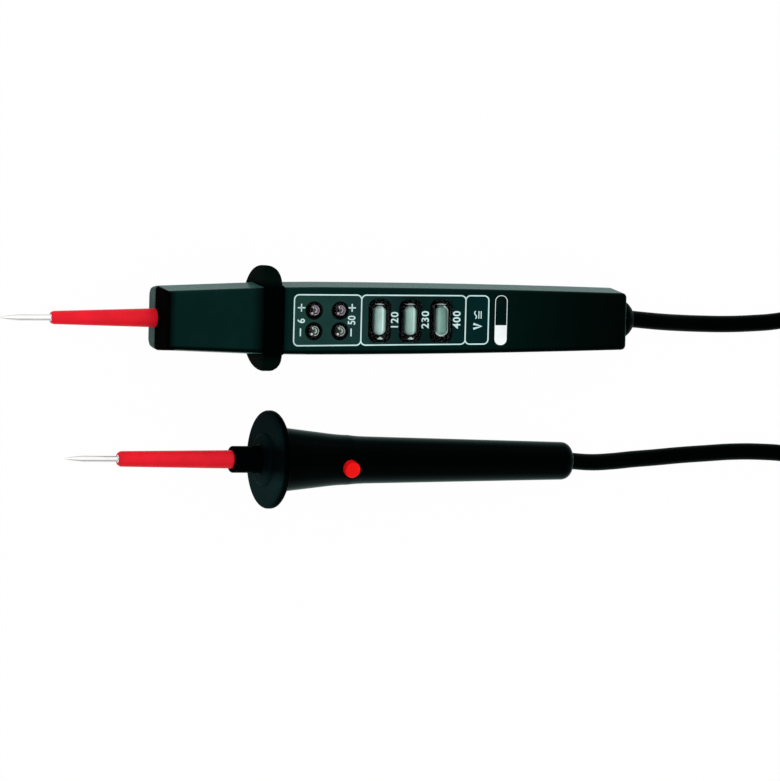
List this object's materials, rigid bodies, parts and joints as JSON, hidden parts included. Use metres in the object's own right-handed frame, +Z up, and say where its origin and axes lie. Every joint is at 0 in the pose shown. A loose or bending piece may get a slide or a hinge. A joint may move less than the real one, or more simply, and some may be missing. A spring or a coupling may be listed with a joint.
{
  "type": "voltage tester",
  "caption": "Two-pole voltage tester: display unit with lamps and needle probe, second needle handle with push button, joined by a cord.",
  "frame": {"origin": "centre of the two units' common outline, on the surface that they rest on", "axes": "+X along both units from the tips towards the cord, +Y from the second handle towards the display unit, +Z up"},
  "size_m": [0.3829, 0.0878, 0.0358],
  "materials": {
    "housing_plastic": "fine satin moulded plastic",
    "guard_plastic": "smooth moulded plastic",
    "handle_plastic": "polished moulded plastic",
    "red_plastic": "smooth insulating sleeve",
    "button_plastic": "smooth bright red",
    "needle_steel": "turned and ground steel",
    "screw_steel": "zinc-plated steel",
    "contact_brass": "stamped brass",
    "board_laminate": "printed circuit board",
    "lamp_glass": "clear glass",
    "led_resin": "clear resin",
    "lens_plastic": "clear moulded plastic",
    "ceramic": "lacquered ceramic",
    "insert_plastic": "moulded insert",
    "grommet_rubber": "soft moulded grommet",
    "cord_jacket": "round jacketed cord",
    "print_ink": "pale printed ink"
  },
  "bodies": {
    "tester": {"upper_shell": "housing_plastic", "lower_shell": "housing_plastic", "hand_guard": "guard_plastic", "main_sleeve": "red_plastic", "main_needle": "needle_steel", "probe_contact": "contact_brass", "circuit_board": "board_laminate", "led_1": "led_resin", "led_2": "led_resin", "led_3": "led_resin", "led_4": "led_resin", "glow_lamp_1": "lamp_glass", "glow_lamp_2": "lamp_glass", "glow_lamp_3": "lamp_glass", "lamp_holder": "insert_plastic", "lens_strip": "lens_plastic", "series_resistors": "ceramic", "housing_screws": "screw_steel", "cord_clamp": "insert_plastic", "clamp_screws": "screw_steel", "cord_grommet": "grommet_rubber", "main_lead_end": "cord_jacket", "guard_cap": "handle_plastic", "handle_tube": "handle_plastic", "handle_sleeve": "red_plastic", "handle_needle": "needle_steel", "switch_carrier": "insert_plastic", "micro_switch": "insert_plastic", "load_resistor": "ceramic", "cord_ferrule": "screw_steel", "handle_lead_end": "cord_jacket", "cord_lead_main": "cord_jacket", "cord_lead_handle": "cord_jacket", "cord_coil": "cord_jacket"},
    "button": {"push_button": "button_plastic", "switch_plunger": "screw_steel"}
  },
  "joints": [
    {"name": "button_press", "type": "slide", "parent": "tester", "child": "button", "axis": [-0.0929, 0.2596, -0.9612], "range_m": [0, 0.0012], "stiffness_N_per_m": 400, "springref_m": -0.0005}
  ]
}
